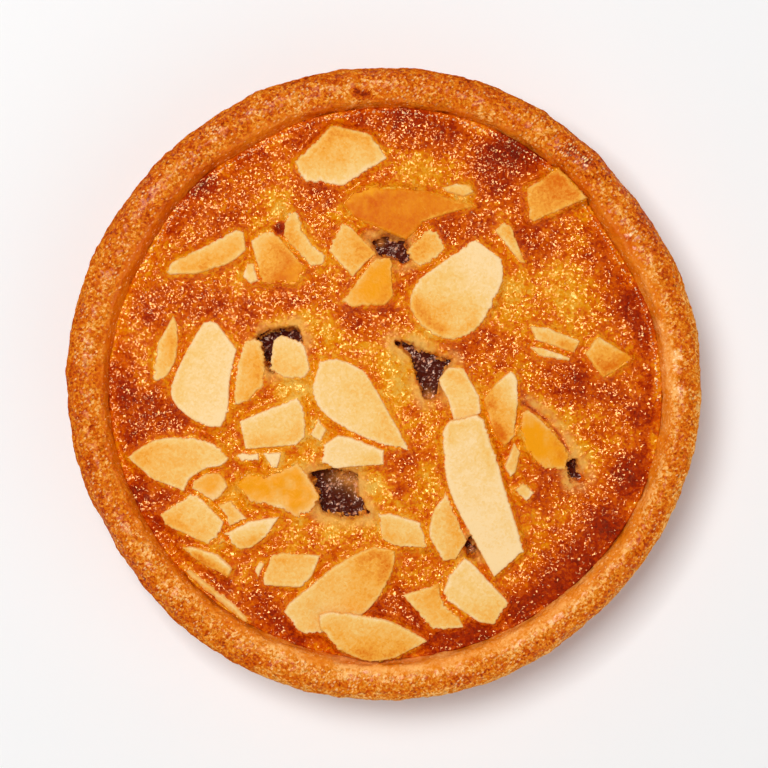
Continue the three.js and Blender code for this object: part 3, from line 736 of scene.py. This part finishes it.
def makeCream(look):
    low, high = (Vector(corner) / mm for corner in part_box("almond_cream"))
    middle = np.array((low + high) / 2)
    solid = nodeTree("almond_cream")
    share, bearing, faces, firstRim = ringDisc(int((high.x - low.x) / 2 / look["spacing"] / coarser))
    edges = edgesOf(faces)
    ways = np.stack([np.cos(bearing), np.sin(bearing)], 1)
    radius = outerRadius(solid, middle, bearing) + look["intoPastry"]
    spokes = (radius * share)[:, None] * ways
    plan = middle[:2] + spokes
    flat = np.column_stack([plan, np.zeros(len(plan))])
    cast = castHeights(solid, middle[:2] + 0.98 * spokes, 60, -1)
    inSplit = np.isnan(cast) | (cast < low.z + 1.0)
    height = np.where(inSplit, np.nanmean(cast), cast)
    for _ in range(60):  # carries the surface across the splits from their edges
        height = np.where(inSplit, spreadOut(height, edges, 1), cast)
    height = spreadOut(height, edges, look["evenOut"] // coarser ** 2)
    relief = height - spreadOut(height, edges, 300 // coarser ** 2)
    intoSplit = splitDepth(flat, edges, inSplit)

    # the cream stands up against the edges of the flakes
    under = castHeights(nodeTree(*flakeNodes), plan, 0, 1)
    covered = ~np.isnan(under) & (intoSplit < -0.3)
    away, which = nearest(flat, flat[covered])
    seat = under[covered][which] + look["climb"]
    rise = np.maximum(seat - height, 0) * (1 - smoothStep(0, look["fillet"], away))
    height = np.where(covered, seat, height + rise * smoothStep(0.2, -0.8, intoSplit))

    buried = np.zeros(len(plan), bool)
    for number, (side, reach) in buriedSides.items():
        over = castHeights(nodeTree(f"flake_{number:02d}"), plan, 60, -1)
        within = ~np.isnan(over)
        depth = nearest(flat[within], flat[~within & (away < 1)])[0]
        facing = (plan[within] - plan[within].mean(0)) @ compass(side)
        lap = reach * smoothStep(0.0, 0.7, facing / facing.max())
        lap = lap * (0.7 + 0.6 * lumps(flat[within], 1.8, 20))
        lapped = np.nonzero(within)[0][depth < lap]
        height[lapped] = over[lapped] + 0.1
        buried[lapped] = True
    covered &= ~buried

    lift = layeredLumps(flat, look["relief"])
    height = height + np.where(covered, 0, np.where(buried, 0.4 * lift, lift))
    crack = np.exp(-(toLine(plan, crackLine) / look["crackWidth"]) ** 2) * ~covered
    crack *= np.clip(0.6 + 0.7 * lumps(flat, 1.5, 29), 0, 1)
    height = height - look["crackDepth"] * crack
    sunk = smoothStep(-look["splitLip"], look["splitBottom"], intoSplit)
    height = height * (1 - sunk) + (low.z - look["splitDeep"]) * sunk

    toRim = radius * (1 - share)
    # painted light and shade: the cream is painted lighter beside the flakes, where their edges shade it,
    # and darker in the crack
    toast = creamToast(flat, toRim, relief, look) - 0.10 * np.exp(-(away / 0.6) ** 2) + 0.6 * crack
    wall = smoothStep(-2.2, -0.2, intoSplit) * (0.62 + layeredLumps(flat, [(0.8, 2.5, 25), (0.5, 0.8, 26)]))
    torn = np.exp(-(toLine(plan - look["tornWidth"] * crackSide, crackLine) / look["tornWidth"]) ** 2)
    wall = np.clip(wall + torn * (0.6 + 0.6 * lumps(flat, 0.8, 28)), 0, 1) * (1 - crack)
    bare = ~covered & (intoSplit < -0.8) & (toRim > 0.5)
    surface, rim = np.column_stack([plan, height]), np.arange(firstRim, len(plan))
    underside = [(radius[rim] - 2, low.z - look["splitDeep"] - 0.3)]
    points, faces = closeEdge(surface, faces, rim, outwardWays(plan[rim]), underside)
    material = makeCreamMaterial(look)
    gloss = creamGloss(flat)
    makePiece("almondCream", points, faces, ["almond_cream"], "cream", material, toast=toast, wall=wall,
              gloss=gloss * (1 - wall) - 0.25 * smoothStep(0.6, 0.3, toast))

    step = look["spacing"] * coarser
    atJoint = np.abs(toRim - 3 * step) < 0.4 * step
    joint = np.nonzero(atJoint & (ways @ compass(grainLook["jointBearing"]) > 0.2))[0]
    glossy = bare * (np.clip(gloss, 0, 1) * (1 - wall)) ** 2
    makeGrains(grainLook, surface, toast, glossy, joint, material)


# loose grains of baked crumb and sugar on the cream, some painted with a glint

grainLook = {
    "count": 6000,
    "jointCount": 230,  # grains painted pale with a glint, in a line along the joint with the pastry
    "jointBearing": 75,  # the middle of that line
    "size": (0.06, 0.13),
    "jointSize": (0.15, 0.2),
    "flat": 0.4,
    "uneven": (0.7, 1.3),
    "scatter": 0.08,
    "sunk": 0.1,  # share of its size that a grain sits in the cream
    "glinting": 0.12,  # share of the grains that are painted with a glint
    "lighter": 0.12,  # than the cream under it
}


def makeGrains(look, places, toast, glossy, joint, material):
    draw = np.random.default_rng(5)
    picks = draw.choice(len(places), look["count"] // coarser, replace=False, p=glossy / glossy.sum())
    edge = joint[np.linspace(0, len(joint) - 1, look["jointCount"]).astype(int)]
    # painted highlights: a share of the grains, and all those along the joint, are painted towards the
    # glint colour
    glint = (draw.uniform(size=len(picks)) < look["glinting"]) * draw.uniform(0.3, 1, len(picks))
    glint = np.concatenate([glint, draw.uniform(0.5, 1, len(edge))])
    picks = np.concatenate([picks, edge])
    corners = np.array([(1, 0, 0), (0, 1, 0), (-1, 0, 0), (0, -1, 0), (0, 0, 1), (0, 0, -1)])
    upper = np.array([(side, (side + 1) % 4, 4) for side in range(4)])
    lower = np.array([((side + 1) % 4, side, 5) for side in range(4)])
    triangles = np.concatenate([upper, lower])
    count, each = len(picks), len(corners)
    size = draw.uniform(*look["size"], count - len(edge))
    size = np.concatenate([size, draw.uniform(*look["jointSize"], len(edge))])
    shape = corners[None] * draw.uniform(*look["uneven"], (count, each, 1)) * size[:, None, None]
    shape[..., 2] *= look["flat"]
    spin = np.exp(1j * draw.uniform(0, 2 * math.pi, count))[:, None]
    turned = (shape[..., 0] + 1j * shape[..., 1]) * spin
    shape[..., 0], shape[..., 1] = turned.real, turned.imag
    aside = draw.normal(0, look["scatter"], (count, 2))
    centres = places[picks] + np.column_stack([aside, -look["sunk"] * size])
    points = (centres[:, None] + shape).reshape(-1, 3)
    faces = (triangles[None] + each * np.arange(count)[:, None, None]).reshape(-1, 3)
    shade = toast[picks] - look["lighter"] * draw.uniform(-0.5, 1.5, count)
    makePiece("crumbGrains", points, faces, [], "cream", material, toast=np.repeat(shade, each),
              glint=np.repeat(glint, each))


# fruit filling

fruitLook = {
    "spacing": 0.36,
    "lumpHeight": 0.5,
    "lumpSize": 2.4,
    "fineHeight": 0.2,
    "fineSize": 1.0,
    "grain": 0.0008,
    "fineness": 0.2,
    "glintSpacing": 0.0006,
    "glintSize": 0.46,
    "glintShare": 0.4,
    "bump": 0.0005,
    "dark": tone(70, 22, 18),
    "paintedHighlight": tone(214, 160, 130),
    "jam": tone(196, 132, 62),
    "shine": 0.5,
    "sheen": tone(255, 215, 190),
}

# where the filling is paler jam: across, up, radius
jammyPlaces = [
    (-6.2, -13.8, 2), (-3.8, -16.3, 1.2), (7, -1.9, 0.8), (-0.6, 22.6, 0.6), (13.6, -26.6, 0.8),
]


def makeFruitMaterial(look):
    material, tree, shader = newMaterial("cookedFruit", look)
    crumb = placeCrumb(tree, look)
    paintedSparkle = placePaintedGlints(tree, look)
    paintedSparkle.inputs["Amount"].default_value = look["glintShare"]
    flesh = mixColour(tree, attributeNode(tree, "jam"), look["dark"], look["jam"])
    # painted highlights: glints mixed into the fruit's colour
    feed(tree, mixColour(tree, paintedSparkle.outputs["Mask"], flesh, look["paintedHighlight"]), shader, "Base Color")
    feed(tree, scaledBy(tree, crumb.outputs["Speckle"], 0.1, 0.15), shader, "Roughness")
    addBump(tree, shader, crumb.outputs["Height"], look["bump"])
    return material


def makeFruit(look):
    low, high = (Vector(corner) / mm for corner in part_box("fruit_filling"))
    middle = np.array((low + high) / 2)
    radius = (high.x - low.x) / 2
    share, bearing, faces, firstRim = ringDisc(int(radius / look["spacing"] / coarser))
    spokes = radius * share[:, None] * np.stack([np.cos(bearing), np.sin(bearing)], 1)
    plan = middle[:2] + spokes
    height = castHeights(nodeTree("fruit_filling"), middle[:2] + 0.985 * spokes, 60, -1)
    height = spreadOut(height, edgesOf(faces), 8)
    flat = np.column_stack([plan, np.zeros(len(plan))])
    height += look["lumpHeight"] * np.abs(lumps(flat, look["lumpSize"], 21))
    height += look["fineHeight"] * lumps(flat, look["fineSize"], 22)
    surface, rim = np.column_stack([plan, height]), np.arange(firstRim, len(plan))
    points, faces = closeEdge(surface, faces, rim, outwardWays(plan[rim]), [(radius - 1.2, low.z)])
    jam = np.zeros(len(plan))
    for across, up, size in jammyPlaces:
        jam += nearSpot(plan, across, up, size)
    jam = np.clip(jam * (1.3 + lumps(flat, 0.9, 27)), 0, 1)
    makePiece("fruitLayer", points, faces, ["fruit_filling"], "fruit", makeFruitMaterial(look), jam=jam)


# flaked almonds

flakeLook = {
    "outlineStep": 0.16,
    "fillStep": 0.5,
    "edgeRound": 0.24,
    "crumble": 0.3,  # how uneven a broken edge is
    "crumbleSize": 0.45,
    "ripple": 0.05,
    "roughRipple": 0.16,
    "grain": 0.0004,
    "fineness": 0.6,
    "speckle": 0.16,
    "bump": 0.00004,
    "toasting": [tone(244, 209, 153), tone(238, 190, 108), tone(236, 160, 56),
                 tone(216, 110, 4), tone(204, 78, 0)],
    "syrup": tone(236, 150, 14),
    "shine": 0.12,
    "sheen": tone(255, 226, 178),
}

# flakes by how far they are toasted, and those with a darker end: its bearing and how much darker
flakeShades = {
    0.06: [22, 23, 48],
    0.11: [16],
    0.14: [18],
    0.22: [6, 19, 33, 39],
    0.26: [10, 17, 20, 21, 25, 29, 40],
    0.32: [26, 30, 36, 44],
    0.34: [1, 24, 27, 37, 45],
    0.39: [3, 12, 13, 14, 15, 34, 35, 43],
    0.43: [5, 8, 31, 32, 38, 42, 46, 49],
    0.49: [7, 9, 41],
    0.56: [47],
    0.62: [4, 11, 28],
    0.86: [2],
}
darkerEnds = {
    1: (96, 0.18), 2: (153, 0.16), 4: (67, 0.10), 5: (26, 0.08), 6: (-127, 0.24), 8: (-16, 0.10),
    9: (-18, 0.08), 11: (-52, 0.30), 12: (-151, 0.08), 15: (-18, 0.10), 16: (155, 0.06), 21: (-73, 0.10),
    24: (180, 0.08), 25: (108, 0.12), 27: (-125, 0.10), 29: (-79, 0.16), 30: (117, 0.10), 31: (-117, 0.24),
    32: (-126, 0.14), 35: (30, 0.15), 37: (2, 0.08), 39: (-56, 0.08), 40: (70, 0.05), 41: (-136, 0.38),
    42: (-26, 0.18), 46: (-98, 0.14), 47: (-57, 0.18), 48: (60, 0.10), 49: (-96, 0.14),
}
# those that have soaked up syrup, and those broken right through, so uneven all over
syrupSoaked = {2: 0.35, 9: 1.1, 11: 0.1, 13: 0.1, 14: 0.1, 15: 0.25, 25: 0.8, 26: 0.5, 30: 1.15, 32: 0.15,
               42: 1.2}
roughFlakes = {7: 1.0, 10: 0.5, 12: 1.0, 15: 0.9, 20: 0.6, 30: 1.0}


def outlineOfFlake(name):  # the flake's middle, the turn that lays it flat and its flat outline
    shape = bmesh.new()
    shape.from_mesh(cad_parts[name].data)
    bmesh.ops.remove_doubles(shape, verts=shape.verts, dist=1e-6)
    upward = Vector((0, 0, 0))
    for face in shape.faces:
        if face.normal.z > 0.5:
            upward += face.normal * face.calc_area()
    upward.normalize()
    top = {face for face in shape.faces if face.normal.dot(upward) > 0.9}
    following = {}
    for face in top:
        for loop in face.loops:
            if not any(other in top for other in loop.edge.link_faces if other is not face):
                following[loop.vert] = loop.link_loop_next.vert
    start = next(iter(following))
    ring, vert = [start], following[start]
    while vert is not start:
        ring.append(vert)
        vert = following[vert]
    levels = [vert.co.dot(upward) for vert in shape.verts]
    thickness = (max(levels) - min(levels)) / mm
    middle = sum((vert.co for vert in ring), Vector()) / len(ring) / mm - upward * thickness / 2
    turn = Vector((0, 0, 1)).rotation_difference(upward)
    flat = np.array([(turn.inverted() @ (vert.co / mm - middle))[:2] for vert in ring])
    shape.free()
    return middle, turn, flat, thickness


def stepAlong(flat, step):  # points at even steps along a closed outline
    points = []
    for here, there in zip(flat, np.roll(flat, -1, 0)):
        count = max(1, round(float(np.linalg.norm(there - here)) / step))
        points += [here + (there - here) * k / count for k in range(count)]
    return np.array(points)


def insideRing(points, ring):
    x, y = points[:, :1], points[:, 1:]
    fromX, fromY = ring.T
    toX, toY = np.roll(ring, -1, 0).T
    crosses = (fromY > y) != (toY > y)
    rise = np.where(toY == fromY, 1e-9, toY - fromY)
    return (crosses & (x < fromX + (toX - fromX) * (y - fromY) / rise)).sum(1) % 2 == 1


def makeFlake(name, look, number):  # a thin plate with rounded, crumbling edges
    middle, turn, flat, thickness = outlineOfFlake(name)
    step, edge = look["fillStep"] * coarser, look["edgeRound"]
    ring = stepAlong(flat, look["outlineStep"] * coarser)
    ahead = np.roll(ring, -1, 0) - np.roll(ring, 1, 0)
    outwards = np.stack([ahead[:, 1], -ahead[:, 0]], 1) / np.linalg.norm(ahead, axis=1)[:, None]
    seat = np.column_stack([ring, np.full(len(ring), 3.7 * number)])
    broken = smoothStep(-0.2, 0.5, lumps(seat, 5, 31))
    uneven = lumps(seat, look["crumbleSize"], 32) + 0.6 * lumps(seat, 2.5 * look["crumbleSize"], 36)
    rough = roughFlakes.get(number, 0.0)
    crumbled = look["crumble"] * (0.25 + 0.75 * broken + 0.5 * rough) * (uneven - 0.3)
    ring = ring + outwards * crumbled[:, None]
    spans = [np.arange(low, high, step) for low, high in zip(ring.min(0), ring.max(0))]
    fill = np.array([(x, y) for x in spans[0] for y in spans[1]])
    fill[:, 0] += 0.25 * step * lumps(np.column_stack([fill, np.zeros(len(fill))]), 0.7, 33)
    fill = np.vstack([ring - outwards * 0.5 * edge, ring - outwards * 1.15 * edge, fill])
    fill = fill[insideRing(fill, ring)]
    outline = np.vstack([ring, ring[:1]])
    fill = fill[toLine(fill, outline) > 0.4 * edge]
    rim = [(k, (k + 1) % len(ring)) for k in range(len(ring))]
    made = geometry.delaunay_2d_cdt([Vector(p) for p in np.vstack([ring, fill])], rim, [], 1, 1e-5)
    plan = np.array([tuple(p) for p in made[0]])
    triangles = np.array([face for face in made[2] if len(face) == 3])
    inDeep = toLine(plan, outline)
    inDeep[inDeep < 1e-4] = 0
    bulge = np.sqrt(1 - (1 - np.clip(inDeep / edge, 0, 1)) ** 2)
    seat = np.column_stack([plan, np.full(len(plan), 3.7 * number)])
    ripple = look["ripple"] * (lumps(seat, 3.0, 34) + 0.5 * lumps(seat, 0.9, 35)) * bulge
    ripple += look["roughRipple"] * rough * lumps(seat, 0.9, 37) * bulge
    upper = np.column_stack([plan, thickness * (bulge - 0.5) + ripple])
    lower = np.column_stack([plan, np.full(len(plan), -0.5 * thickness)])
    within = inDeep > 0
    lowerIndex = np.arange(len(plan))
    lowerIndex[within] = len(plan) + np.arange(within.sum())
    points = np.vstack([upper, lower[within]])
    faces = np.vstack([triangles, lowerIndex[triangles[:, ::-1]]])
    spin = np.array(turn.to_matrix())
    return points @ spin.T + np.array(middle), faces, np.concatenate([inDeep, inDeep[within]])


def makeAlmondMaterial(look):
    material, tree, shader = newMaterial("flakedAlmond", look)
    crumb, syrup = placeCrumb(tree, look), attributeNode(tree, "syrup")
    colour = mixColour(tree, syrup, toastedColour(tree, look, crumb), look["syrup"])
    feed(tree, colour, shader, "Base Color")
    feed(tree, scaledBy(tree, syrup, -0.15, 0.5), shader, "Roughness")
    addBump(tree, shader, crumb.outputs["Height"], look["bump"])
    return material


def flakeToast(number, made, inDeep, shade):  # pale along its edge, browned within that at its darker end
    bearing, darker = darkerEnds.get(number, (77 * number, 0.08))
    along = (made[:, :2] - made[:, :2].mean(0)) @ compass(bearing)
    along = 2 * along / np.ptp(along) + 0.6 * lumps(made, 4, 41)
    toast = shade + darker * np.clip(along, -1.2, 1.2) + 0.06 * lumps(made, 1.5, 42)
    # paler along the edge: partly the paler broken almond, partly painted light that lifts the rounded edge
    # out of its own shade
    toast -= 0.32 * np.exp(-(inDeep / 0.45) ** 2) * (0.7 + 0.7 * lumps(made, 1.8, 45))
    browned = np.exp(-((inDeep - 1.2) / 0.9) ** 2) * smoothStep(0.0, 0.8, along)
    return toast + (0.04 + 0.6 * darker) * browned


def flakeSyrupAndPaintedBounce(number, made, inDeep):
    soaked = 0.75 + layeredLumps(made, [(0.6, 2.5, 43), (0.4, 0.9, 44)])
    soaked = soaked * syrupSoaked.get(number, 0.0) * (0.4 + 0.6 * smoothStep(0.1, 1.4, inDeep))
    if number in buriedSides:  # a side under the cream takes on its colour
        facing = (made[:, :2] - made[:, :2].mean(0)) @ compass(buriedSides[number][0])
        soaked += 0.8 * smoothStep(0.3, 1.0, facing / facing.max() + 0.3 * lumps(made, 1.2, 46))
    # painted light: the syrup colour along the very edge warms the flake's shaded sides as bounce light
    # would
    return np.clip(soaked + 0.75 * np.exp(-(inDeep / 0.12) ** 2), 0, 1)


def makeFlakes(look):
    points, faces, toast, syrup, rims = [], [], [], [], []
    count = 0
    shades = {number: shade for shade, numbers in flakeShades.items() for number in numbers}
    for name in flakeNodes:
        number = int(name.split("_")[1])
        made, triangles, inDeep = makeFlake(name, look, number)
        points.append(made)
        faces.append(triangles + count)
        toast.append(flakeToast(number, made, inDeep, shades[number]))
        syrup.append(flakeSyrupAndPaintedBounce(number, made, inDeep))
        rims.append(inDeep == 0)
        count += len(made)
    makePiece("flakedAlmonds", np.vstack(points), np.vstack(faces), flakeNodes, "almond",
              makeAlmondMaterial(look), np.concatenate(rims), toast=np.concatenate(toast),
              syrup=np.concatenate(syrup))


makePastry(pastryLook)
makeFruit(fruitLook)
makeCream(creamLook)
makeFlakes(flakeLook)


# floor, light and camera

stageLook = {
    "floorTone": 0.93,
    "floorReach": 3,
    "shine": 0.1,  # of the floor
    "sheen": (1, 1, 1, 1),
    "roomZenith": 0.05,  # the room is dimmer overhead than round about
    "roomHorizon": 1.3,
    "keyPower": 1.9,
    "keySize": 0.16,
    "keyPlace": (-0.09, 0.085, 0.505),
    "fillPower": 0.65,
    "fillSize": 0.6,
    "fillPlace": (0.28, -0.26, 0.45),
    "aim": (0, 0, 0.02),  # what the lights point at
    "cameraHeight": 0.36,
    "tartWidth": 639 / 768,  # share of the picture
}


def makeStage(look):
    scene = bpy.context.scene
    scene.view_settings.view_transform = "Standard"
    mesh = bpy.data.meshes.new("floor")
    far = look["floorReach"]
    mesh.from_pydata([(-far, -far, 0), (far, -far, 0), (far, far, 0), (-far, far, 0)], [], [(0, 1, 2, 3)])
    floor = bpy.data.objects.new("floor", mesh)
    scene.collection.objects.link(floor)
    pale = (look["floorTone"],) * 3 + (1,)
    mesh.materials.append(newMaterial("paleFloor", look, Base_Color=pale, Roughness=0.9)[0])
    world = bpy.data.worlds.new("softRoom")
    world.use_nodes = True
    sky = world.node_tree
    background = sky.nodes["Background"]
    background.inputs["Color"].default_value = (1, 1, 1, 1)
    way = sky.nodes.new("ShaderNodeSeparateXYZ")
    feed(sky, sky.nodes.new("ShaderNodeTexCoord").outputs["Generated"], way, 0)
    low = mathNode(sky, "POWER", mathNode(sky, "SUBTRACT", 1.0, way.outputs["Z"], clamp=True), 2.0)
    feed(sky, scaledBy(sky, low, look["roomHorizon"], look["roomZenith"]), background, "Strength")
    scene.world = world
    for name in ("key", "fill"):
        light = bpy.data.lights.new(name + "Light", "AREA")
        light.energy, light.size = look[name + "Power"], look[name + "Size"]
        lamp = bpy.data.objects.new(name + "Light", light)
        lamp.location = look[name + "Place"]
        lamp.visible_glossy = name == "key"  # the fill only softens the shadows
        lamp.rotation_euler = (Vector(look["aim"]) - lamp.location).to_track_quat("-Z", "Y").to_euler()
        scene.collection.objects.link(lamp)
    camera = bpy.data.cameras.new("topCamera")
    width = (cadBounds[1][0] - cadBounds[0][0]) / look["tartWidth"]
    rimLevel = cadBounds[1][2] - 0.003
    camera.sensor_width = 36
    camera.lens = camera.sensor_width * (look["cameraHeight"] - rimLevel) / width
    eye = bpy.data.objects.new("topCamera", camera)
    eye.location = (0, 0, look["cameraHeight"])
    scene.collection.objects.link(eye)
    scene.camera = eye
    print("stage set")


makeStage(stageLook)
